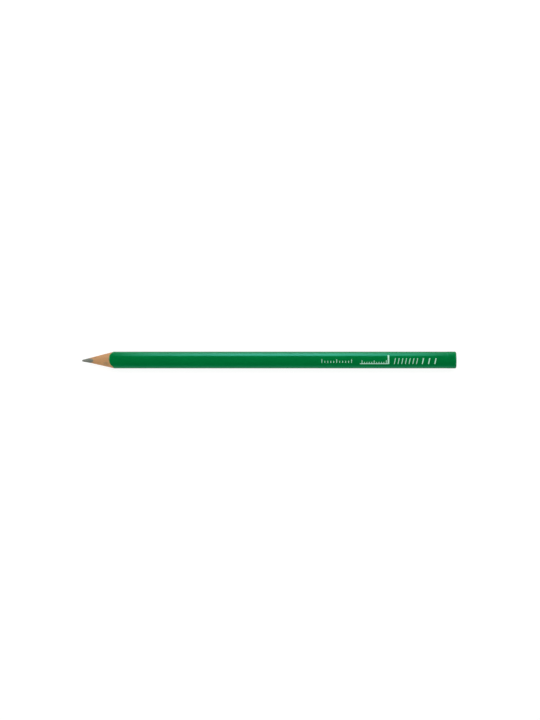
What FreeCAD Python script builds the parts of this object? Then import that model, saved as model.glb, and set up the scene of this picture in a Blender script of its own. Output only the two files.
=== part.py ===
import FreeCAD, Part
import math
import os

import Sketcher

# Oval carpenter pencil, sharpened at one end and dipped at the other. Millimetres.
#
# A hard round lead lies in the grooves of two wooden slats, which are glued into one
# blank. The blank is milled to a flat oval, sealed, lacquered, stamped with foil marks,
# rounded at its butt and dipped there. Sharpening cuts one cone through every layer.
#
# Frame: the pencil lies on its wide side. +X runs from the tip to the butt, Y crosses
# the wide side and +Z is up. The origin is under the middle, on the resting plane.

OUT = "parts"

# Driving dimensions. Each is a cell of the sheet "sizes" under the same name.
SIZES = {
    "overall_length": 240.0,  # blunt tip to the end of the dipped butt
    "barrel_width": 10.9,  # over the lacquer
    "barrel_thickness": 7.15,  # over the lacquer
    "edge_radius": 2.6,  # arc along each narrow edge of the oval
    "lead_diameter": 3.15,
    "lead_offset": -0.42,  # the grooves lie this far off the middle, along Y
    "bond_film": 0.05,  # glue between the lead and its grooves
    "seam_film": 0.06,  # glue between the two slats
    "undercoat_film": 0.06,
    "lacquer_film": 0.1,
    "dip_film": 0.06,  # on the sides of the barrel
    "dip_end_film": 0.16,  # on the end face
    "dip_length": 6.0,
    "dip_round": 1.0,
    "end_round": 0.9,  # rounding milled on the butt before the dip
    "cone_length_edge": 22.2,  # the cone's apex to the lacquer of the narrow edges
    "cone_length_face": 19.66,  # the cone's apex to the lacquer of the wide faces
    "cone_overrun": 1.1,  # how far the cone is cut past the barrel's edges, as a share
    "apex_trim": 1.55,  # the blunt tip stands this far behind the apex
    "apex_lean": 0.34,  # the cone's axis passes this far to the -Y side at its apex
    "cone_drift": 0.06,  # and this far to the +Y side where the cone meets the edges
    "tip_wear": 0.2,  # length of the worn bevel round the blunt tip
    "tip_flat": 0.7,  # size of the flat inside the bevel, as a share of the cone there
    "tip_fullness": 1.25,  # size of the worn point behind the bevel, as a share likewise
    "worn_length": 6.0,  # the worn point tapers into the true cone over this length
    "tip_droop": 0.13,  # the worn point leans this much further to the -Y side
    "foil_film": 0.03,
    "foil_row": -1.35,  # centre line of the imprint across the wide face
    "foil_slant": 0.8,  # how far a bar leans between its foot and its head
    "scale_start": 33.5,  # the imprint's places are measured from the pencil's middle
    "scale_length": 19.0,
    "scale_count": 11,
    "scale_width": 0.38,
    "scale_height": 1.3,
    "scale_long_height": 2.3,  # every fifth stroke, as on the graduation below
    "square_start": 58.0,
    "square_length": 18.8,
    "square_height": 5.8,
    "square_stock": 1.0,  # width of the square's thick leg
    "square_blade": 0.45,  # width of its thin leg
    "grade_start": 59.2,  # the graduation along the thin leg
    "grade_length": 15.5,
    "grade_count": 11,
    "grade_width": 0.38,
    "grade_height": 1.3,
    "grade_long_height": 2.3,
    "fine_start": 79.8,
    "fine_length": 14.2,
    "fine_count": 7,
    "fine_width": 0.45,
    "bold_start": 97.6,
    "bold_length": 8.0,
    "bold_count": 3,
    "bold_width": 0.7,
    "bar_height": 3.7,
}

TURN_TO_YZ = FreeCAD.Rotation(FreeCAD.Vector(1, 1, 1), 120)  # X to Y, Y to Z and Z to X
TIP = "-sizes.overall_length / 2"
AXIS = "sizes.dip_film + sizes.barrel_thickness / 2"  # height of the barrel's axis
WOOD_INSET = "sizes.undercoat_film + sizes.lacquer_film"
BORE = "sizes.lead_diameter / 2 + sizes.bond_film"
UNDIPPED = "sizes.overall_length - sizes.dip_end_film"


def make_sheet(doc):
    """The spreadsheet of driving dimensions, one named cell each."""
    sheet = doc.addObject("Spreadsheet::Sheet", "sizes")
    for row, (name, value) in enumerate(SIZES.items(), start=1):
        sheet.set(f"A{row}", name)
        sheet.set(f"B{row}", str(value))
        sheet.setAlias(f"B{row}", name)
    doc.recompute()


def place(thing, x=TIP, y="0", z=AXIS):
    """Binds where an object stands."""
    for axis, rule in zip("xyz", (x, y, z)):
        thing.setExpression(f"Placement.Base.{axis}", rule)


def add_sketch(body, name, role="YZ_Plane"):
    """A sketch on one of the body's origin planes. On YZ its axes are Y and Z."""
    sketch = body.newObject("Sketcher::SketchObject", name)
    support = next(f for f in body.Origin.OriginFeatures if f.Role == role)
    sketch.AttachmentSupport = (support, "")
    sketch.MapMode = "FlatFace"
    return sketch


def dimension(sketch, kind, name, rule, *where):
    """A dimensional constraint bound to the sheet. The last of where is its first value."""
    number = sketch.addConstraint(Sketcher.Constraint(kind, *where))
    sketch.renameConstraint(number, name)
    sketch.setExpression("Constraints." + name, rule)


def draw_oval(sketch, inset):
    """The barrel's section moved inwards by inset: an arc over each wide face and a
    tighter one round each edge, all tangent."""
    half, tight = SIZES["barrel_thickness"] / 2, SIZES["edge_radius"]
    offset = SIZES["barrel_width"] / 2 - tight
    wide = (offset**2 + half**2 - tight**2) / (2 * (half - tight))
    joint = math.atan2(wide - half, offset)

    def arc(x, y, radius, start, end):
        circle = Part.Circle(FreeCAD.Vector(x, y), FreeCAD.Vector(0, 0, 1), radius)
        return sketch.addGeometry(Part.ArcOfCircle(circle, start, end))

    right = arc(offset, 0, tight, -joint, joint)
    top = arc(0, half - wide, wide, joint, math.pi - joint)
    left = arc(-offset, 0, tight, math.pi - joint, math.pi + joint)
    bottom = arc(0, wide - half, wide, math.pi + joint, 2 * math.pi - joint)
    for one, other in ((right, top), (top, left), (left, bottom), (bottom, right)):
        sketch.addConstraint(Sketcher.Constraint("Tangent", one, 2, other, 1))
    sketch.addConstraint(Sketcher.Constraint("Equal", right, left))
    sketch.addConstraint(Sketcher.Constraint("Equal", top, bottom))
    sketch.addConstraint(Sketcher.Constraint("PointOnObject", right, 3, -1))
    sketch.addConstraint(Sketcher.Constraint("Symmetric", right, 3, left, 3, -1, 1))
    crown = sketch.addGeometry(Part.Point(FreeCAD.Vector(0, half)), True)
    sketch.addConstraint(Sketcher.Constraint("PointOnObject", crown, 1, top))
    sketch.addConstraint(Sketcher.Constraint("PointOnObject", crown, 1, -2))
    edge_rule = "sizes.barrel_width / 2 - sizes.edge_radius"
    crown_rule = f"sizes.barrel_thickness / 2 - ({inset})"
    dimension(sketch, "DistanceX", "edge_centre", edge_rule, -1, 1, right, 3, offset)
    dimension(sketch, "DistanceY", "crown", crown_rule, -1, 1, crown, 1, half)
    dimension(sketch, "Radius", "edge", f"sizes.edge_radius - ({inset})", right, tight)


def draw_circle(sketch, radius):
    """A circle round the lead's axis."""
    offset, start = SIZES["lead_offset"], SIZES["lead_diameter"] / 2
    circle = Part.Circle(FreeCAD.Vector(offset, 0), FreeCAD.Vector(0, 0, 1), start)
    drawn = sketch.addGeometry(circle)
    sketch.addConstraint(Sketcher.Constraint("PointOnObject", drawn, 3, -1))
    dimension(sketch, "DistanceX", "offset", "sizes.lead_offset", -1, 1, drawn, 3, offset)
    dimension(sketch, "Radius", "radius", radius, drawn, start)


def draw_bar(sketch, x, y, width, height, slant="0"):
    """A bar with its lower left corner at x, y, leaning by slant at its head."""
    corners = [FreeCAD.Vector(*corner) for corner in ((0, 0), (1, 0), (1, 1), (0, 1))]
    foot, right, head, left = [
        sketch.addGeometry(Part.LineSegment(one, other))
        for one, other in zip(corners, corners[1:] + corners[:1])
    ]
    for one, other in ((foot, right), (right, head), (head, left), (left, foot)):
        sketch.addConstraint(Sketcher.Constraint("Coincident", one, 2, other, 1))
    sketch.addConstraint(Sketcher.Constraint("Horizontal", foot))
    sketch.addConstraint(Sketcher.Constraint("Horizontal", head))
    tag = f"bar{foot}_"
    dimension(sketch, "DistanceX", tag + "x", x, -1, 1, foot, 1, 0.1)
    dimension(sketch, "DistanceY", tag + "y", y, -1, 1, foot, 1, 0.1)
    dimension(sketch, "DistanceX", tag + "foot", width, foot, 1, foot, 2, 1)
    dimension(sketch, "DistanceX", tag + "head", width, head, 2, head, 1, 1)
    dimension(sketch, "DistanceY", tag + "height", height, right, 1, right, 2, 1)
    dimension(sketch, "DistanceX", tag + "slant", slant, right, 1, right, 2, 0.1)


def pad(body, sketch, length):
    """Pads a sketch along its normal."""
    feature = body.newObject("PartDesign::Pad", sketch.Name + "_pad")
    feature.Profile = sketch
    feature.setExpression("Length", length)
    body.Document.recompute()


def pocket(body, sketch):
    """Cuts a YZ sketch along +X through the whole body."""
    before = body.Shape.Volume
    feature = body.newObject("PartDesign::Pocket", sketch.Name + "_pocket")
    feature.Profile = sketch
    feature.Type = "ThroughAll"
    feature.Reversed = True
    body.Document.recompute()
    if body.Shape.Volume >= before:
        raise RuntimeError(feature.Name + " cut nothing")


def round_end(body, radius):
    """Rounds the rim of the body's flat end at its highest x."""
    base = body.Tip
    end = base.Shape.BoundBox.XMax
    rim = [
        f"Edge{number}"
        for number, edge in enumerate(base.Shape.Edges, start=1)
        if edge.BoundBox.XMin > end - 1e-6
    ]
    feature = body.newObject("PartDesign::Fillet", body.Name + "_fillet")
    feature.Base = (base, rim)
    feature.setExpression("Radius", radius)
    body.Document.recompute()


def boolean(doc, kind, label, base, tool):
    """A Part::Cut or Part::Common of two objects."""
    made = doc.addObject("Part::" + kind, label)
    made.Base = base
    made.Tool = tool
    return made


def oval_blank(doc, name, inset, length=UNDIPPED, x=TIP):
    """A straight bar with the barrel's section, moved inwards by inset."""
    body = doc.addObject("PartDesign::Body", name)
    sketch = add_sketch(body, name + "_section")
    draw_oval(sketch, inset)
    pad(body, sketch, length)
    place(body, x=x)
    return body


def round_rod(doc, name, radius):
    """A round rod on the lead's axis."""
    body = doc.addObject("PartDesign::Body", name)
    sketch = add_sketch(body, name + "_section")
    draw_circle(sketch, radius)
    pad(body, sketch, UNDIPPED)
    place(body)
    return body


def sharpening_cone(doc):
    """What the sharpener leaves standing: an oval cone from the blunt tip, on an axis a
    little askew. Once wider than the barrel it runs on to the butt as it is."""

    def ring(name, from_apex, share="1", droop="0", at=None):
        made = doc.addObject("Part::Ellipse", name)
        to_edge = f"({from_apex}) / sizes.cone_length_edge"
        to_face = f"({from_apex}) / sizes.cone_length_face"
        made.setExpression("MajorRadius", f"{share} * sizes.barrel_width / 2 * {to_edge}")
        made.setExpression("MinorRadius", f"{share} * sizes.barrel_thickness / 2 * {to_face}")
        made.Placement.Rotation = TURN_TO_YZ
        askew = f"(sizes.apex_lean + sizes.cone_drift) * {to_edge} - sizes.apex_lean - {droop}"
        place(made, x=at or f"{TIP} - sizes.apex_trim + {from_apex}", y=askew)
        return made

    bevel = "sizes.apex_trim + sizes.tip_wear"
    past_barrel = "sizes.cone_overrun * sizes.cone_length_edge"
    cone = doc.addObject("Part::Loft", "sharpening_cone")
    cone.Sections = [
        ring("worn_flat", "sizes.apex_trim", "sizes.tip_flat", "sizes.tip_droop"),
        ring("worn_bevel", bevel, "sizes.tip_fullness", "sizes.tip_droop"),
        ring("worn_end", "sizes.apex_trim + sizes.worn_length"),
        ring("cone_end", past_barrel),
        ring("clear_of_butt", past_barrel, at="sizes.overall_length / 2"),
    ]
    cone.Solid = True
    cone.Ruled = True
    doc.recompute()
    return cone


def slat(doc, outline, label, side):
    """Half of the casing with its groove. side is 1 for the upper slat, -1 for the lower."""
    body = oval_blank(doc, label + "_blank", WOOD_INSET)
    parting = add_sketch(body, label + "_parting")
    foot = {1: "sizes.seam_film / 2 - sizes.barrel_thickness", -1: "-sizes.seam_film / 2"}
    width, height = "2 * sizes.barrel_width", "sizes.barrel_thickness"
    draw_bar(parting, "-sizes.barrel_width", foot[side], width, height)
    pocket(body, parting)
    groove = add_sketch(body, label + "_groove")
    draw_circle(groove, BORE)
    pocket(body, groove)
    return boolean(doc, "Common", label, outline, body)


def seam(doc, outline, label, side):
    """The glue between the slats on one side of the lead. side is 1 for +Y, -1 for -Y."""
    body = oval_blank(doc, label + "_blank", WOOD_INSET)
    width, height = "2 * sizes.barrel_width", "sizes.barrel_thickness"
    other_side = add_sketch(body, label + "_other_side")
    start = {1: "-2 * sizes.barrel_width", -1: "0"}
    draw_bar(other_side, start[side], f"-{height}", width, f"2 * {height}")
    pocket(body, other_side)
    slats = add_sketch(body, label + "_slats")
    draw_bar(slats, "-sizes.barrel_width", "sizes.seam_film / 2", width, height)
    below = f"-sizes.seam_film / 2 - {height}"
    draw_bar(slats, "-sizes.barrel_width", below, width, height)
    pocket(body, slats)
    bore = add_sketch(body, label + "_bore")
    draw_circle(bore, BORE)
    pocket(body, bore)
    return boolean(doc, "Common", label, outline, body)


def layer(doc, outline, label, outer, inner):
    """A film between two nested blanks, sharpened and rounded with the rest."""
    film = boolean(doc, "Cut", label + "_film", outer, inner)
    return boolean(doc, "Common", label, outline, film)


def dip_cap(doc, barrel):
    """The dipped end: a film over the butt's side and face."""
    start = "sizes.overall_length / 2 - sizes.dip_length"
    body = oval_blank(doc, "dip_blank", "-sizes.dip_film", "sizes.dip_length", start)
    round_end(body, "sizes.dip_round")
    return boolean(doc, "Cut", "end_dip_cap", body, barrel)


def bar_row(name, y, height, slant="0"):
    """A row of equal bars, as many as the sheet says, from the cells that bear name."""
    pitch = f"sizes.{name}_length / (sizes.{name}_count - 1)"
    return [
        (f"sizes.{name}_start + {place_in_row} * {pitch}", y, f"sizes.{name}_width", height, slant)
        for place_in_row in range(SIZES[name + "_count"])
    ]


def graduation(name, y):
    """A row of upright strokes on y, every fifth of them longer."""
    strokes = bar_row(name, y, f"sizes.{name}_height")
    for number in range(0, len(strokes), 5):
        x, y, width, _, slant = strokes[number]
        strokes[number] = (x, y, width, f"sizes.{name}_long_height", slant)
    return strokes


def foil_mark(doc, foil, label, *groups):
    """One mark of the imprint, stamped out of the foil over the upper face. Bars of one
    group stay apart from each other, and groups may cross."""
    body = doc.addObject("PartDesign::Body", label + "_stamp")
    for number, bars in enumerate(groups):
        sketch = add_sketch(body, f"{label}_shapes{number}", "XY_Plane")
        for bar in bars:
            draw_bar(sketch, *bar)
        pad(body, sketch, "sizes.barrel_thickness")
    place(body, x="0", y="sizes.foil_row")
    return boolean(doc, "Common", label, foil, body)


def imprint(doc, lacquered):
    """The foil marks: a short scale, a graduated try square and two rows of slanted bars."""
    foil = boolean(doc, "Cut", "foil", oval_blank(doc, "foil_blank", "-sizes.foil_film"), lacquered)
    low = "-sizes.bar_height / 2"
    scale = graduation("scale", "-sizes.scale_long_height / 2")
    stock_x = "sizes.square_start + sizes.square_length - sizes.square_stock"
    stock = (stock_x, low, "sizes.square_stock", "sizes.square_height")
    blade = ("sizes.square_start", low, "sizes.square_length", "sizes.square_blade")
    grades = graduation("grade", low)
    fine = bar_row("fine", low, "sizes.bar_height", "sizes.foil_slant")
    bold = bar_row("bold", low, "sizes.bar_height", "sizes.foil_slant")
    return [
        foil_mark(doc, foil, "imprint_scale", scale),
        foil_mark(doc, foil, "imprint_square", [stock, *grades], [blade]),
        foil_mark(doc, foil, "imprint_fine_bars", fine),
        foil_mark(doc, foil, "imprint_bold_bars", bold),
    ]


def check(doc, parts):
    """Stops before anything is written if an object failed or a piece isn't sound."""
    doc.recompute()
    failed = [o.Label for o in doc.Objects if {"Invalid", "Error"} & set(o.State)]
    if failed:
        raise RuntimeError("failed objects: " + ", ".join(failed))
    for part in parts:
        shape = part.Shape
        if shape.isNull() or not shape.isValid() or not shape.Solids:
            raise RuntimeError("bad shape: " + part.Label)
        box = shape.BoundBox
        low = f"{box.XMin:9.3f} {box.YMin:8.3f} {box.ZMin:8.3f}"
        high = f"{box.XMax:9.3f} {box.YMax:8.3f} {box.ZMax:8.3f}"
        print(f"{part.Label:20} {len(shape.Solids):3} {shape.Volume:10.3f}  {low}  {high}")


def main():
    doc = FreeCAD.newDocument("carpenter_pencil")
    make_sheet(doc)

    # The finished outer shape, then the blanks that nest inside it.
    barrel = oval_blank(doc, "lacquered_barrel", "0")
    round_end(barrel, "sizes.end_round")
    outline = boolean(doc, "Common", "finished_outline", barrel, sharpening_cone(doc))
    lacquered = oval_blank(doc, "lacquered_blank", "0")
    sealed = oval_blank(doc, "sealed_blank", "sizes.lacquer_film")
    milled = oval_blank(doc, "milled_blank", WOOD_INSET)
    lead_rod = round_rod(doc, "lead_rod", "sizes.lead_diameter / 2")
    bond_rod = round_rod(doc, "bond_rod", BORE)

    parts = [
        boolean(doc, "Common", "lead_core", outline, lead_rod),
        layer(doc, outline, "lead_bond_sleeve", bond_rod, lead_rod),
        slat(doc, outline, "casing_upper_slat", 1),
        slat(doc, outline, "casing_lower_slat", -1),
        seam(doc, outline, "glue_seam_left", 1),
        seam(doc, outline, "glue_seam_right", -1),
        layer(doc, outline, "undercoat", sealed, milled),
        layer(doc, outline, "colour_coat", lacquered, sealed),
        dip_cap(doc, barrel),
        *imprint(doc, lacquered),
    ]
    check(doc, parts)

    os.makedirs(OUT, exist_ok=True)
    for part in parts:
        part.Shape.exportStep(f"{OUT}/{part.Label}.step")


main()
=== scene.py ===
"""Looks for the oval carpenter pencil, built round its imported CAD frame.

Every layer is remodelled on one shared description: an oval barrel of nested films round
a round lead, all cut by one sharpening cone. Lengths are millimetres in the row frame,
with y and z taken from the barrel's axis, until to_metres() turns them.
"""

import math

import bmesh
import bpy
import numpy as np
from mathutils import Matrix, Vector


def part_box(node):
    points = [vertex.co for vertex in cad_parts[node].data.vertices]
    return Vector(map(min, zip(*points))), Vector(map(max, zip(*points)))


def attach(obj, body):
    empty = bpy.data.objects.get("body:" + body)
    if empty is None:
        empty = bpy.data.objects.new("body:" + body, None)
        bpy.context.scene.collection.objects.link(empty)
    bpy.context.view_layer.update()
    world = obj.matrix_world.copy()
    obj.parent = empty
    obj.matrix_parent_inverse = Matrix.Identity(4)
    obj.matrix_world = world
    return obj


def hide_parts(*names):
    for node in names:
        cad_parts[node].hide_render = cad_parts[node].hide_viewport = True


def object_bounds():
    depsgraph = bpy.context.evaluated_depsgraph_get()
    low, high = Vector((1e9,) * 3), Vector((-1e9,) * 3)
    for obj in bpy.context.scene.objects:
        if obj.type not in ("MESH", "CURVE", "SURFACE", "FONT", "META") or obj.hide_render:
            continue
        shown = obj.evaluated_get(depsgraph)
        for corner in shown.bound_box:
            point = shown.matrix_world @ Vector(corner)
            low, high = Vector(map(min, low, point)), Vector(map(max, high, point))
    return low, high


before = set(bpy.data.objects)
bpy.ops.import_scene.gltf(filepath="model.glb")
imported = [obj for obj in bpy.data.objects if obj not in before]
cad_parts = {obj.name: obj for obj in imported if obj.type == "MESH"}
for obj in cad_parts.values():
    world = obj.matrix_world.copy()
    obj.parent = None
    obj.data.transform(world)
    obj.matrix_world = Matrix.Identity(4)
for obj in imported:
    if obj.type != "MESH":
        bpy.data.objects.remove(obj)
CAD_LOW, CAD_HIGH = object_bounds()
MM = 0.001

# ---------------------------------------------------------------- sizes, millimetres
TIP_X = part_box("lead_core")[0].x / MM
BUTT_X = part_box("end_dip_cap")[1].x / MM
AXIS_Z = (CAD_LOW.z + CAD_HIGH.z) / 2 / MM

HALF_WIDTH = 5.45
HALF_THICKNESS = 3.575
EDGE_RADIUS = 2.6
LEAD_RADIUS = 1.575
BORE_RADIUS = 1.625
LEAD_OFFSET = -0.42  # the lead's axis lies this far off the barrel's, in y
LACQUER = 0.1
UNDERCOAT = 0.06
WOOD = LACQUER + UNDERCOAT  # how deep the wood lies under the lacquer's surface
SEAM_ANGLE = math.radians(0.45)  # half of the glue line, seen from the axis

CONE_TO_EDGE = 22.2  # from the apex to where the cone would leave the narrow edges
CONE_TO_FACE = 19.66  # the same for the wide faces
APEX_LEAN = 0.34  # the apex lies this far to the -Y side
CONE_DRIFT = 0.06  # and the cone's wide end this far to the +Y side
APEX_TRIM = 1.55  # from the apex to the blunt tip
TIP_WEAR = 0.3  # length of the rounded nose
WORN_END = 7.55  # the wear fades out here, from the apex
WORN_SWELL = 0.44  # the worn tip is as thick as the cone is this much further back
TIP_DROOP = 0.13  # the worn tip leans this much further to the -Y side
SCALLOP_SHORT = 0.03  # the lacquer is cut back from the ideal line by at least this
SCALLOP_CHIP = 0.14  # and by up to this much more where it is nicked

# Relief on the cut wood, on the ground lead and on the lacquer: half of its full depth.
WOOD_CHATTER = 0.010
WOOD_FIBRE = 0.016
LEAD_GRIND = 0.005
LEAD_CHATTER = 0.004
SAG = 0.003
SAG_START = 8  # the lacquer's relief grows in over this length behind the cone

DIP_FILM = 0.05
DIP_END_FILM = 0.16
DIP_LENGTH = 6.0
DIP_ROUND = 1.0
DIP_BEAD = 0.35  # length of the swollen rim
DIP_THINNED = 0.78  # share of the film's thickness that is left behind the rim
DIP_SETTLE = 0.5  # how soon it thins behind the rim
DIP_CROWN = 0.02  # how far the end bulges beyond its corner
RIM_WANDER = 0.05  # how far the rim wanders along the barrel, each way
END_X = BUTT_X - DIP_END_FILM
END_ROUND = 0.9

FOIL = 0.025  # how far the foil stands out of the lacquer
FOIL_SUNK = 0.02  # how far it is pressed in
FOIL_ROW = -1.35  # the middle line of the bars, in y
FOIL_CORNER = 0.06
STROKE_WIDTH = 0.38
SHORT_STROKE = 1.3
LONG_STROKE = 2.3
STROKES = 11  # in a graduation, with a long one at every fifth
SQUARE_SCALE_START = 1.2  # from the toe of the try square's blade
SQUARE_SCALE_LENGTH = 15.5
BAR_FOOT = -1.85
BAR_HEIGHT = 3.7
BAR_SLANT = 0.8

COLUMNS = 240  # samples round the barrel
FULL_TURN = np.arange(COLUMNS) * 2 * math.pi / COLUMNS
SHARP_EDGE = math.radians(35)

# The oval is an arc over each wide face and a tighter one round each edge, all tangent.
EDGE_CENTRE = HALF_WIDTH - EDGE_RADIUS
FACE_RADIUS = (EDGE_CENTRE**2 + HALF_THICKNESS**2 - EDGE_RADIUS**2) / (
    2 * (HALF_THICKNESS - EDGE_RADIUS)
)
FACE_DROP = FACE_RADIUS - HALF_THICKNESS


# ---------------------------------------------------------------- light and camera, metres
VIEW_ELEVATION = 79.0
VIEW_DISTANCE = 1.5
VIEW_SPAN = 0.4618  # height that the camera sees at that distance
VIEW_MIDDLE = 0.0005  # the x it looks at
SENSOR = 36.0  # millimetres
PANEL_AIM = (0, 0, AXIS_Z * MM)
# The soft box behind the pencil is three panels, each narrower than the last and a little
# behind it, so that it is brightest in its middle: name, width, radiance.
SOFT_BOX = (("box_rim", 0.35, 4.9), ("box_middle", 0.24, 1.8), ("box_core", 0.14, 1.9))
SOFT_BOX_HEIGHT = 0.68
SOFT_BOX_ELEVATION = 31.5
SOFT_BOX_SHIFT = 0.015
SOFT_BOX_STEP = 0.01
# The corner panels: name, azimuth, radiance.
CORNER_PANELS = (
    ("back_left", 240, 5.0),
    ("back_right", 120, 5.0),
    ("front_left", 300, 2.2),
    ("front_right", 60, 2.2),
)
NEAR = 1.2  # distance of the soft box and the low strips
FAR = 1.5  # distance of the corner panels
FLOOR_HALF = 6.0
FLOOR_Z = -0.00002  # just clear of the pencil


# ---------------------------------------------------------------- the shared geometry
def oval_depth(y, z):
    """How deep a point lies inside the lacquered oval, negative outside."""
    y, z = np.abs(y), np.abs(z)
    on_edge = z * EDGE_CENTRE < (y - EDGE_CENTRE) * FACE_DROP
    edge = EDGE_RADIUS - np.hypot(y - EDGE_CENTRE, z)
    face = FACE_RADIUS - np.hypot(y, z + FACE_DROP)
    return np.where(on_edge, edge, face)


def cone_point(s, phi, sunk=0.0):
    """The point of the sharpening cone at s from its apex and at angle phi round it,
    sunk towards the cone's middle."""
    worn = np.clip((WORN_END - s) / (WORN_END - APEX_TRIM), 0, 1)
    askew = (APEX_LEAN + CONE_DRIFT) * s / CONE_TO_EDGE - APEX_LEAN - TIP_DROOP * worn
    swollen = s + WORN_SWELL * worn
    ry = HALF_WIDTH * swollen / CONE_TO_EDGE * np.cos(phi)
    rz = HALF_THICKNESS * swollen / CONE_TO_FACE * np.sin(phi)
    keep = 1 - sunk / np.maximum(np.hypot(ry, rz), 0.05)
    return np.stack([TIP_X - APEX_TRIM + s + 0 * phi, askew + ry * keep, rz * keep], -1)


def cone_reach(phi, surface):
    """Where the cone's generators at phi come out through a surface: s for each phi.
    surface is ("round", radius) or ("oval", depth under the lacquer)."""
    kind, size = surface
    near, far = np.zeros_like(phi), np.full_like(phi, 1.3 * CONE_TO_EDGE)
    for _ in range(50):
        middle = (near + far) / 2
        _, y, z = np.moveaxis(cone_point(middle, phi), -1, 0)
        if kind == "round":
            inside = np.hypot(y - LEAD_OFFSET, z) < size
        else:
            inside = oval_depth(y, z) > size
        near, far = np.where(inside, middle, near), np.where(inside, far, middle)
    return near


def end_x(depth):
    """Where a surface at this depth ends on the rounded, undipped butt."""
    inward = END_ROUND - np.minimum(depth, END_ROUND)
    return END_X - END_ROUND + np.sqrt(END_ROUND**2 - inward**2)


class Ripple:
    """Smooth seeded noise over a length and an angle: waves of random direction, from
    -1 to 1. Each wave fits a whole number of times round the angle."""

    def __init__(self, seed, pitch, turns, waves=7):
        rng = np.random.default_rng(seed)
        self.along = 2 * math.pi / pitch * rng.uniform(0.6, 1.6, waves)
        self.around = rng.integers(-turns, turns + 1, waves)
        self.phase = rng.uniform(0, 2 * math.pi, waves)

    def __call__(self, length, angle):
        waves = zip(self.along, self.around, self.phase)
        return sum(np.sin(k * length + n * angle + p) for k, n, p in waves) / len(self.phase)


def smooth(low, high, value):
    """0 below low, 1 above high, and a soft step between them."""
    t = np.clip((value - low) / (high - low), 0, 1)
    return t * t * (3 - 2 * t)


chatter = Ripple(11, 0.62, 2)  # the sharpener's marks across the cone
fibre = Ripple(12, 9.0, 60, 16)  # grain that stands up a little along the cone
grind = Ripple(13, 0.2, 1)  # fine turns on the lead
wobble = Ripple(14, 33.0, 2)  # slow unevenness of the lacquer
chip = Ripple(15, 1e6, 42, 14)  # nicks in the lacquer's sharpened edge
wander = Ripple(16, 1e6, 5)  # the dip's rim, along the barrel


def cone_patch(phi, start, end, rows):
    """Grid of points on the cut cone from start to end, both given as s for each phi. The
    cut lies a little under the ideal cone, and less and less towards the lacquer."""
    s = start + (end - start) * np.linspace(0, 1, rows)[:, None]
    phi = phi + 0 * s
    lead_end = cone_reach(phi[0], ("round", LEAD_RADIUS))
    on_wood = smooth(-0.02, 0.25, s - lead_end)
    wood = WOOD_CHATTER * (1 + chatter(s, phi)) + WOOD_FIBRE * (1 + fibre(s, phi))
    lead = LEAD_GRIND * (1 + grind(s, phi)) + LEAD_CHATTER * (1 + chatter(s, phi))
    fade = smooth(0, 0.9, cone_reach(phi[0], ("oval", 0)) - s)
    return cone_point(s, phi, fade * (on_wood * wood + (1 - on_wood) * lead))


def straight(ring, to_x, rows):
    """Grid that runs from a ring straight along the barrel to to_x."""
    t = np.linspace(0, 1, rows)[:, None]
    x = ring[:, 0] + (to_x - ring[:, 0]) * t
    return np.stack([x, ring[:, 1] + 0 * t, ring[:, 2] + 0 * t], -1)


def oval_ring(phi, depth, x):
    """A ring round the barrel at this depth and place."""
    ring = cone_point(cone_reach(phi, ("oval", depth)), phi)
    ring[:, 0] = x
    return ring


def butt_patch(phi, outer_ring, inner_ring, outer):
    """Rings over the rounded butt from a layer's outer surface to its inner one."""
    kind, depth = outer
    inner_depth = oval_depth(inner_ring[0, 1], inner_ring[0, 2])
    last = min(float(inner_depth), END_ROUND)
    depths = np.linspace(depth, last, 7)[1:-1] if kind == "oval" else []
    rings = [oval_ring(phi, d, end_x(d)) for d in depths]
    if kind == "oval" and last == END_ROUND:
        rings.append(oval_ring(phi, END_ROUND, END_X))
    return np.array([outer_ring, *rings, inner_ring])


# ---------------------------------------------------------------- meshes from grids
def to_metres(points):
    """From millimetres about the barrel's axis to metres in the row frame."""
    return (np.asarray(points) + (0, 0, AXIS_Z)) * MM


def add_grid(bm, grid, closed=True):
    """Adds a grid of points as quads. closed joins its last column to its first."""
    rows, columns, _ = grid.shape
    verts = [[bm.verts.new(point) for point in row] for row in to_metres(grid)]
    for low, high in zip(verts, verts[1:]):
        for j in range(columns if closed else columns - 1):
            k = (j + 1) % columns
            bm.faces.new((low[j], low[k], high[k], high[j]))


def add_piece(bm, name):
    """Welds the grids into one closed mesh, which stands for the CAD node of that name."""
    bmesh.ops.remove_doubles(bm, verts=bm.verts, dist=1e-4 * MM)
    bmesh.ops.recalc_face_normals(bm, faces=bm.faces)
    mesh = bpy.data.meshes.new(name)
    bm.to_mesh(mesh)
    bm.free()
    mesh.shade_smooth()
    mesh.set_sharp_from_angle(angle=SHARP_EDGE)
    piece = bpy.data.objects.new(name + "_look", mesh)
    bpy.context.scene.collection.objects.link(piece)
    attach(piece, "root")
    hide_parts(name)
    return piece


def arc_angles(start, end):
    """The columns' angles between start and end, with both of them added."""
    steps = np.arange(-COLUMNS, 2 * COLUMNS) * 2 * math.pi / COLUMNS
    inner = steps[(steps > start + 1e-6) & (steps < end - 1e-6)]
    return np.concatenate([[start], inner, [end]])


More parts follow.
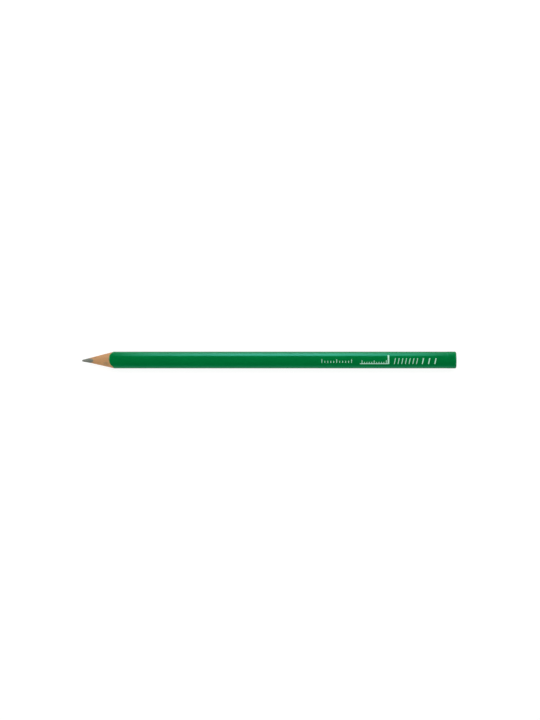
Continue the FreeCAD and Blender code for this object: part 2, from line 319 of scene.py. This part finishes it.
def build_layer(name, phi, inner, outer, rows, closed=True):
    """A layer between two surfaces, from the cut cone to the rounded butt."""
    outermost = outer == ("oval", 0)
    patch = cone_patch(phi, cone_reach(phi, inner), cone_reach(phi, outer), rows)
    inner_x = END_X if inner[0] == "round" else end_x(inner[1])
    outer_x = END_X if outer[0] == "round" else end_x(outer[1])
    if outermost:
        patch[-1, :, 0] += SCALLOP_SHORT + SCALLOP_CHIP * smooth(0.05, 0.6, chip(0, phi))
    inside = straight(patch[0], inner_x, 3)
    outside = straight(patch[-1], outer_x, 90 if outermost else 3)
    if outermost:
        outside = sagged(outside, phi)
    butt = butt_patch(phi, outside[-1], inside[-1], outer)
    bm = bmesh.new()
    for grid in (patch, inside, outside, butt):
        add_grid(bm, grid, closed)
    if not closed:
        for side in (0, -1):
            loop = [patch[:, side], outside[1:, side], butt[1:, side], inside[-2:0:-1, side]]
            corners = [bm.verts.new(point) for point in to_metres(np.concatenate(loop))]
            bmesh.ops.triangulate(bm, faces=[bm.faces.new(corners)])
    return add_piece(bm, name)


def sagged(grid, phi):
    """The lacquer's slow unevenness: always inwards, and none where it meets the cone."""
    x, y, z = np.moveaxis(grid, -1, 0)
    depth = SAG * (1 + wobble(x, phi)) * smooth(0, SAG_START, x - x[0])
    keep = 1 - depth / np.hypot(y, z)
    return np.stack([x, y * keep, z * keep], -1)


def build_lead():
    """The lead: a worn round tip, the ground cone and the rod behind it."""
    phi = FULL_TURN
    start = np.full(COLUMNS, APEX_TRIM + TIP_WEAR)
    shoulder = cone_patch(phi, start, start, 2)[0]
    middle = shoulder.mean(axis=0)
    bend = np.linspace(0, math.pi / 2, 9)[:, None, None]
    nose = middle + (shoulder - middle) * np.sin(bend)
    nose[..., 0] = TIP_X + TIP_WEAR * (1 - np.cos(bend[..., 0]))
    cone = cone_patch(phi, start, cone_reach(phi, ("round", LEAD_RADIUS)), 70)
    cone[0] = nose[-1]
    rod = straight(cone[-1], END_X, 3)
    centre = rod[-1].mean(axis=0)
    end = centre + (rod[-1] - centre) * np.linspace(1, 0, 4)[:, None, None]
    bm = bmesh.new()
    for grid in (nose, cone, rod, end):
        add_grid(bm, grid)
    return add_piece(bm, "lead_core")


def dip_outside(rim):
    """The dip's outer surface as (x, depth) pairs: its swollen rim, the film that thins
    behind it, and the full corner. rim is where it starts, for each column."""
    thinned = -DIP_FILM * DIP_THINNED
    outline = []
    for t in np.linspace(0, 1, 9):
        outline.append((rim + DIP_BEAD * t, -DIP_FILM * math.sqrt(1 - (1 - t) ** 2)))
    for behind in (0.3, 0.7, 1.2, 2.0, 3.0):
        left = DIP_THINNED + (1 - DIP_THINNED) * math.exp(-behind / DIP_SETTLE)
        outline.append((rim + DIP_BEAD + behind, -DIP_FILM * left))
    for bend in np.linspace(0, math.pi / 2, 14):
        x = BUTT_X - DIP_ROUND + (DIP_ROUND - DIP_CROWN) * math.sin(bend)
        outline.append((x, thinned + DIP_ROUND * (1 - math.cos(bend))))
    return outline


def dip_inside(rim):
    """The dip's inner surface, against the barrel and its rounded end, in the same way."""
    outline = [(rim, 0)]
    for bend in np.linspace(0, math.pi / 2, 14):
        x = END_X - END_ROUND * (1 - math.sin(bend))
        outline.append((x, END_ROUND * (1 - math.cos(bend))))
    return outline


def build_dip():
    """The dipped end: a film with a swollen rim, a full corner and a nearly flat end."""
    phi = FULL_TURN
    rim = BUTT_X - DIP_LENGTH + RIM_WANDER * (1 + wander(0, phi))
    outer = [oval_ring(phi, depth, x) for x, depth in dip_outside(rim)]
    inner = [oval_ring(phi, depth, x) for x, depth in dip_inside(rim)]
    bm = bmesh.new()
    for rings, end, steps in ((outer, BUTT_X, 5), (inner, END_X, 2)):
        centre = np.array([end, 0, 0])
        last = rings[-1]
        shares = 1 - np.arange(1, steps + 1) / steps
        add_grid(bm, np.array(rings + [centre + (last - centre) * share for share in shares]))
    return add_piece(bm, "end_dip_cap")


# ---------------------------------------------------------------- the imprint
def face_height(y):
    """Height of the lacquer's upper face over the axis, at y."""
    return math.sqrt(FACE_RADIUS**2 - y**2) - FACE_DROP


def slanted_bar(x, y, width, height, slant=0.0):
    """Corners of a bar that stands on y at x and leans by slant at its head."""
    return [(x, y), (x + width, y), (x + width + slant, y + height), (x + slant, y + height)]


def bar_row(start, length, count, width):
    """Equal slanted bars with their feet spread evenly over a length."""
    feet = [start + length * i / (count - 1) for i in range(count)]
    return [slanted_bar(x, BAR_FOOT, width, BAR_HEIGHT, BAR_SLANT) for x in feet]


def graduation(start, length, y):
    """Upright strokes on y, spread evenly over a length, every fifth of them longer."""
    strokes = []
    for i in range(STROKES):
        height = LONG_STROKE if i % 5 == 0 else SHORT_STROKE
        strokes.append(slanted_bar(start + length * i / (STROKES - 1), y, STROKE_WIDTH, height))
    return strokes


def try_square(x, y, length, height, stock, blade):
    """Outline of a try square: a long thin blade that carries a graduation, and a thick
    upright stock at its end."""
    outline = [(x, y), (x + length, y), (x + length, y + height)]
    outline += [(x + length - stock, y + height), (x + length - stock, y + blade)]
    strokes = graduation(x + SQUARE_SCALE_START, SQUARE_SCALE_LENGTH, y)
    for left, right, head_right, head_left in reversed(strokes):
        outline += [(right[0], y + blade), head_right, head_left, (left[0], y + blade)]
    return outline + [(x, y + blade)]


def foil_mark(name, outlines):
    """Thin foil shapes bent over the lacquer, their undersides pressed into it."""
    bm = bmesh.new()
    for outline in outlines:
        bm.faces.new([bm.verts.new((x, y + FOIL_ROW, 0)) for x, y in outline])
    bmesh.ops.bevel(
        bm, geom=bm.verts[:], offset=FOIL_CORNER, segments=3, affect="VERTICES", profile=0.5
    )
    ys = [v.co.y for v in bm.verts]
    for y in np.arange(min(ys), max(ys), 0.2)[1:]:
        geom = bm.verts[:] + bm.edges[:] + bm.faces[:]
        bmesh.ops.bisect_plane(bm, geom=geom, plane_co=(0, y, 0), plane_no=(0, 1, 0))
    bottom = bm.verts[:]
    made = bmesh.ops.extrude_face_region(bm, geom=bm.faces[:], use_keep_orig=True)["geom"]
    top = [item for item in made if isinstance(item, bmesh.types.BMVert)]
    for verts, lift in ((bottom, -FOIL_SUNK), (top, FOIL)):
        for v in verts:
            v.co.z = face_height(v.co.y) + lift
    for v in bm.verts:
        v.co = Vector(to_metres(v.co))
    return add_piece(bm, name)


def build_imprint():
    """The four foil marks, from the scale in the middle to the bars near the butt."""
    scale = graduation(start=33.5, length=19.0, y=-1.15)
    square = try_square(x=58.0, y=BAR_FOOT, length=18.8, height=5.8, stock=1.0, blade=0.45)
    return [
        foil_mark("imprint_scale", scale),
        foil_mark("imprint_square", [square]),
        foil_mark("imprint_fine_bars", bar_row(start=79.8, length=14.2, count=7, width=0.45)),
        foil_mark("imprint_bold_bars", bar_row(start=97.6, length=8.0, count=3, width=0.7)),
    ]


# ---------------------------------------------------------------- materials
class Paint:
    """A material's node tree, built up by short calls. Patterns are in millimetres."""

    def __init__(self, name, **values):
        self.material = bpy.data.materials.new(name)
        self.material.use_nodes = True
        self.tree = self.material.node_tree
        self.shader = self.tree.nodes["Principled BSDF"]
        for socket, value in values.items():
            self.shader.inputs[socket.replace("_", " ")].default_value = value
        self.place = self.node("ShaderNodeTexCoord").outputs["Object"]

    def node(self, kind, inputs=(), **settings):
        """Adds a node. inputs are (socket name or number, value or socket) pairs."""
        made = self.tree.nodes.new(kind)
        for name, value in settings.items():
            setattr(made, name, value)
        for socket, value in dict(inputs).items():
            if isinstance(value, bpy.types.NodeSocket):
                self.tree.links.new(value, made.inputs[socket])
            else:
                made.inputs[socket].default_value = value
        return made

    def stretched(self, per_mm, shift=(0, 0, 0), turn=(0, 0, 0)):
        """Coordinates with per_mm pattern lengths to a millimetre along x, y and z."""
        scale = [n / MM for n in per_mm]
        values = {"Vector": self.place, "Scale": scale, "Location": shift, "Rotation": turn}
        return self.node("ShaderNodeMapping", values).outputs[0]

    def noise(self, per_mm, detail=3.0, rough=0.5, shift=(0, 0, 0)):
        vector = self.stretched(per_mm, shift)
        values = {"Vector": vector, "Scale": 1.0, "Detail": detail, "Roughness": rough}
        return self.node("ShaderNodeTexNoise", values).outputs[0]

    def ramp(self, value, *stops):
        """Maps a value through (position, colour or grey) stops."""
        made = self.node("ShaderNodeValToRGB", {"Fac": value})
        elements = made.color_ramp.elements
        while len(elements) < len(stops):
            elements.new(0.5)
        for element, (position, colour) in zip(elements, stops):
            element.position = position
            grey = isinstance(colour, (int, float))
            element.color = (*[colour] * 3, 1) if grey else (*colour, 1)
        return made.outputs[0]

    def times(self, one, other):
        return self.node("ShaderNodeMath", {0: one, 1: other}, operation="MULTIPLY").outputs[0]

    def mix(self, factor, one, other):
        """Mixes two colours. Plain colours are (r, g, b)."""
        one, other = [(*c, 1) if isinstance(c, tuple) else c for c in (one, other)]
        values = {"Factor": factor, "A": one, "B": other}
        made = self.node("ShaderNodeMix", data_type="RGBA")
        for name, value in values.items():
            socket = next(s for s in made.inputs if s.name == name and s.enabled)
            if isinstance(value, bpy.types.NodeSocket):
                self.tree.links.new(value, socket)
            else:
                socket.default_value = value
        return next(s for s in made.outputs if s.enabled)

    def spot(self, centre, radii, soft=0.5):
        """1 in the middle of an ellipsoid (row frame, millimetres), fading to 0 at its
        surface over the soft share of its radii."""
        kind = "ShaderNodeVectorMath"
        values = {0: self.place, 1: [c * MM for c in centre]}
        moved = self.node(kind, values, operation="SUBTRACT").outputs[0]
        values = {0: moved, 1: [r * MM for r in radii]}
        scaled = self.node(kind, values, operation="DIVIDE").outputs[0]
        length = self.node(kind, {0: scaled}, operation="LENGTH").outputs["Value"]
        return self.ramp(length, (1 - soft, 1.0), (1.0, 0.0))

    def colour(self, socket):
        self.tree.links.new(socket, self.shader.inputs["Base Color"])

    def roughness(self, socket):
        self.tree.links.new(socket, self.shader.inputs["Roughness"])

    def relief(self, *layers):
        """Bump from (height, millimetres) pairs."""
        normal = None
        for height, depth in layers:
            values = {"Height": height, "Distance": depth * MM, "Strength": 1.0}
            if normal is not None:
                values["Normal"] = normal
            normal = self.node("ShaderNodeBump", values).outputs[0]
        self.tree.links.new(normal, self.shader.inputs["Normal"])


def srgb(*channels):
    """Linear colour from 8-bit sRGB channels."""
    shares = [c / 255 for c in channels]
    return tuple(s / 12.92 if s <= 0.04045 else ((s + 0.055) / 1.055) ** 2.4 for s in shares)


def lacquer(name, tone, shift):
    """Deep green gloss lacquer, drawn along the barrel: faint streaks, orange peel and
    a few specks of dust."""
    paint = Paint(name, IOR=1.4)
    paint.shader.inputs["Specular Tint"].default_value = (0.12, 0.91, 0.86, 1)
    streak = paint.noise((0.03, 1.6, 1.6), 4, shift=shift)
    cloud = paint.noise((0.05, 0.12, 0.12), 2, shift=shift)
    deep, light = [tuple(c * k for c in tone) for k in (0.95, 1.05)]
    body = paint.mix(paint.ramp(cloud, (0.3, 0.0), (0.7, 1.0)), deep, light)
    paint.colour(paint.mix(paint.times(streak, 0.16), body, deep))
    paint.roughness(paint.ramp(streak, (0.3, 0.08), (0.7, 0.13)))
    peel = paint.noise((0.9, 1.4, 1.4), 2, shift=shift)
    dust = paint.ramp(paint.noise((2.2, 2.6, 2.6), 1, shift=shift), (0.79, 0.0), (0.83, 1.0))
    paint.relief((streak, 0.0004), (peel, 0.0007), (dust, 0.004))
    return paint.material


def wood(name, seed):
    """Pale reddish casing wood: bands from the growth rings, fine fibres and pores, the marks of
    sharpening and handling over them, and painted fill light that makes the -Y flank paler."""
    paint = Paint(name, Roughness=0.75)
    shift = (seed * 3.7, seed * 1.9, seed * 5.3)
    turned = paint.stretched((0.012, 0.55, 0.55), shift, (0.3 + seed, 0, 0))
    values = {"Vector": turned, "Scale": 1.0, "Distortion": 2.2, "Detail": 2.0}
    rings = paint.node(
        "ShaderNodeTexWave", values, bands_direction="Z", wave_profile="SAW"
    ).outputs[0]
    fibres = paint.noise((0.22, 7, 7), 4, 0.65, shift)
    pores = paint.ramp(paint.noise((0.9, 11, 11), 2, 0.5, shift), (0.64, 0.0), (0.70, 1.0))
    early, late = srgb(198, 151, 102), srgb(179, 131, 85)
    tint = paint.mix(paint.ramp(rings, (0.1, 0.0), (0.95, 1.0)), early, late)
    dark = paint.mix(paint.ramp(fibres, (0.35, 0.0), (0.7, 1.0)), tint, srgb(156, 110, 68))
    grain = paint.mix(0.45, tint, dark)
    pored = paint.mix(paint.times(pores, 0.6), grain, srgb(112, 74, 46))
    # A warmer edge next to the lacquer, and lead dust next to the lead.
    warm = paint.spot((TIP_X + 20.5, 0, AXIS_Z), (4.2, 9, 9), 0.75)
    blush = paint.mix(paint.times(warm, 0.3), pored, srgb(198, 134, 96))
    dust = paint.spot((TIP_X + 5.6, 0, AXIS_Z), (2.6, 4, 4), 0.8)
    grey = paint.mix(paint.times(dust, 0.30), blush, srgb(120, 112, 100))
    # Painted fill light: the -Y flank is painted paler, standing in for light that falls short
    # there; and a small dark fleck near the lead.
    painted_fill_light_spot = paint.spot((TIP_X + 13, -3.2, AXIS_Z + 1.8), (9.5, 3.6, 3.6), 0.9)
    fill_lit_wood = paint.mix(paint.times(painted_fill_light_spot, 0.3), grey, srgb(218, 166, 108))
    fleck = paint.spot((TIP_X + 8.3, 1.26, AXIS_Z + 1.42), (0.85, 0.42, 0.6), 0.6)
    flecked = paint.mix(paint.times(fleck, 0.6), fill_lit_wood, srgb(112, 78, 44))
    # A patchy grey smudge on the -Y side.
    smudge = paint.spot((TIP_X + 15.4, -2.8, AXIS_Z + 2.3), (2.4, 1.7, 1.8), 0.9)
    patches = paint.noise((0.9, 2.4, 2.4), 4, 0.6, shift)
    smear = paint.times(smudge, paint.ramp(patches, (0.38, 0.15), (0.62, 0.95)))
    paint.colour(paint.mix(smear, flecked, srgb(122, 116, 90)))
    paint.roughness(paint.ramp(fibres, (0.3, 0.62), (0.7, 0.82)))
    paint.relief((fibres, 0.02), (pores, -0.02))
    return paint.material


def lead_material():
    """Hard, light grey lead, ground round the point."""
    paint = Paint("lead_grey")
    turns = paint.noise((9, 0.5, 0.5), 3, 0.6)
    grit = paint.noise((7, 7, 7), 3, 0.6)
    dark, light = srgb(91, 96, 86), srgb(122, 125, 114)
    tone = paint.mix(paint.ramp(turns, (0.3, 0.0), (0.7, 1.0)), dark, light)
    specks = paint.ramp(grit, (0.58, 0.0), (0.68, 1.0))
    paint.colour(paint.mix(paint.times(specks, 0.5), tone, srgb(78, 82, 76)))
    paint.roughness(paint.ramp(turns, (0.3, 0.38), (0.7, 0.55)))
    paint.relief((turns, 0.012), (grit, 0.008))
    return paint.material


def glue(name):
    """Dried wood glue, yellowish and a little uneven."""
    paint = Paint(name, Roughness=0.45)
    lumps = paint.noise((2.5, 6, 6), 3)
    paint.colour(paint.mix(lumps, srgb(190, 158, 110), srgb(158, 124, 84)))
    paint.relief((lumps, 0.01))
    return paint.material


def sealer():
    """Ochre sealer under the lacquer, seen only along the sharpened edge."""
    paint = Paint("sealer_ochre", Roughness=0.7)
    grain = paint.noise((0.6, 5, 5), 3)
    paint.colour(paint.mix(grain, srgb(150, 138, 84), srgb(112, 112, 62)))
    paint.relief((grain, 0.01))
    return paint.material


def foil():
    """Pale mint stamping foil, with green showing through where it didn't take."""
    paint = Paint("foil_white", Roughness=0.42)
    wear = paint.noise((3.2, 3.2, 3.2), 5, 0.7)
    grain = paint.noise((14, 14, 14), 2)
    gone = paint.ramp(wear, (0.60, 0.0), (0.70, 1.0))
    bright = paint.mix(grain, srgb(168, 218, 194), srgb(182, 228, 206))
    paint.colour(paint.mix(paint.times(gone, 0.7), bright, srgb(60, 146, 98)))
    paint.relief((grain, 0.004))
    return paint.material


def dress(piece, material):
    """Gives a piece its only material."""
    piece.data.materials.clear()
    piece.data.materials.append(material)


# ---------------------------------------------------------------- the pencil
def build_pencil():
    """Every piece from the lead outwards, each with its material."""
    bore = ("round", BORE_RADIUS)
    wood_side = ("oval", WOOD)
    under_side = ("oval", LACQUER)
    half_turn = math.pi
    sectors = {
        "casing_upper_slat": ("wood", SEAM_ANGLE, half_turn - SEAM_ANGLE),
        "casing_lower_slat": ("wood", half_turn + SEAM_ANGLE, 2 * half_turn - SEAM_ANGLE),
        "glue_seam_left": ("glue", -SEAM_ANGLE, SEAM_ANGLE),
        "glue_seam_right": ("glue", half_turn - SEAM_ANGLE, half_turn + SEAM_ANGLE),
    }
    glue_look = glue("glue_dried")

    dress(build_lead(), lead_material())
    sleeve = build_layer("lead_bond_sleeve", FULL_TURN, ("round", LEAD_RADIUS), bore, 3)
    dress(sleeve, glue_look)
    for number, (name, (slot, start, end)) in enumerate(sectors.items()):
        angles = arc_angles(start, end)
        piece = build_layer(name, angles, bore, wood_side, 110, closed=False)
        dress(piece, wood(name + "_wood", number + 1) if slot == "wood" else glue_look)
    sealed = build_layer("undercoat", FULL_TURN, wood_side, under_side, 3)
    dress(sealed, sealer())
    coat = build_layer("colour_coat", FULL_TURN, under_side, ("oval", 0), 5)
    green = srgb(1, 112, 54)
    dress(coat, lacquer("lacquer_green", green, (0, 0, 0)))
    dress(build_dip(), lacquer("dip_green", tuple(c * 0.97 for c in green), (9, 4, 2)))
    foil_look = foil()
    for mark in build_imprint():
        dress(mark, foil_look)


# ---------------------------------------------------------------- floor, light, camera
def panel(name, place, size, radiance):
    """A soft rectangular light turned to the pencil. Its power follows from its size and
    radiance."""
    light = bpy.data.lights.new(name, "AREA")
    light.shape = "RECTANGLE"
    light.size, light.size_y = size
    light.energy = radiance * math.pi * size[0] * size[1]
    lamp = bpy.data.objects.new(name, light)
    lamp.location = place
    lamp.rotation_euler = (Vector(PANEL_AIM) - Vector(place)).to_track_quat("-Z", "Y").to_euler()
    lamp.visible_camera = False
    bpy.context.scene.collection.objects.link(lamp)


def polar(distance, azimuth, elevation):
    """A place round the pencil. Azimuth 0 is in front (-Y) and 90 is at +X."""
    a, e = math.radians(azimuth), math.radians(elevation)
    flat = distance * math.cos(e)
    return (flat * math.sin(a), -flat * math.cos(a), distance * math.sin(e))


def build_lights():
    """A soft box behind the pencil, low strips behind it and in front, and four corner
    panels."""
    for number, (name, width, radiance) in enumerate(SOFT_BOX):
        place = Vector(polar(NEAR + SOFT_BOX_STEP * number, 180, SOFT_BOX_ELEVATION))
        place.x += SOFT_BOX_SHIFT
        panel(name, place, (width, SOFT_BOX_HEIGHT), radiance)
    panel("back_low", polar(NEAR, 180, 4), (0.36, 0.16), 3.4)
    for name, azimuth, radiance in CORNER_PANELS:
        panel(name, polar(FAR, azimuth, 45), (0.7, 0.7), radiance)
    panel("front_low", polar(NEAR, 0, 24), (0.6, 0.22), 2.0)


def build_floor():
    mesh = bpy.data.meshes.new("floor")
    signs = ((-1, -1), (1, -1), (1, 1), (-1, 1))
    corners = [(x * FLOOR_HALF, y * FLOOR_HALF, FLOOR_Z) for x, y in signs]
    mesh.from_pydata(corners, [], [(0, 1, 2, 3)])
    floor = bpy.data.objects.new("floor", mesh)
    bpy.context.scene.collection.objects.link(floor)
    paint = Paint("floor_white", Roughness=1.0)
    paint.shader.inputs["Specular IOR Level"].default_value = 0.0
    paint.shader.inputs["Base Color"].default_value = (0.16, 0.16, 0.16, 1)
    paint.shader.inputs["Emission Color"].default_value = (1, 1, 1, 1)
    paint.shader.inputs["Emission Strength"].default_value = 0.9
    floor.data.materials.append(paint.material)


def build_world():
    """Pale round the horizon and dark overhead, as in a tent of white board."""
    world = bpy.data.worlds.new("studio")
    bpy.context.scene.world = world
    world.use_nodes = True
    nodes, links = world.node_tree.nodes, world.node_tree.links
    back = nodes["Background"]
    place = nodes.new("ShaderNodeTexCoord")
    split = nodes.new("ShaderNodeSeparateXYZ")
    ramp = nodes.new("ShaderNodeValToRGB")
    low, high = ramp.color_ramp.elements
    low.position, low.color = 0.30, (0.96, 0.96, 0.95, 1)
    high.position, high.color = 0.42, (0.012, 0.012, 0.012, 1)
    links.new(place.outputs["Generated"], split.inputs[0])
    links.new(split.outputs["Z"], ramp.inputs["Fac"])
    links.new(ramp.outputs["Color"], back.inputs["Color"])


def build_camera():
    """The camera looks almost straight down, from the front."""
    data = bpy.data.cameras.new("camera")
    data.sensor_width = SENSOR
    data.lens = SENSOR * VIEW_DISTANCE / VIEW_SPAN
    data.clip_start, data.clip_end = 0.01, 50
    camera = bpy.data.objects.new("camera", data)
    bpy.context.scene.collection.objects.link(camera)
    aim = Vector((VIEW_MIDDLE, 0, AXIS_Z * MM))
    back = Vector(polar(1, 0, VIEW_ELEVATION))
    camera.location = aim + back * VIEW_DISTANCE
    camera.rotation_euler = (-back).to_track_quat("-Z", "Y").to_euler()
    bpy.context.scene.camera = camera


build_pencil()
build_floor()
build_world()
build_camera()
build_lights()
bpy.context.scene.view_settings.view_transform = "Standard"
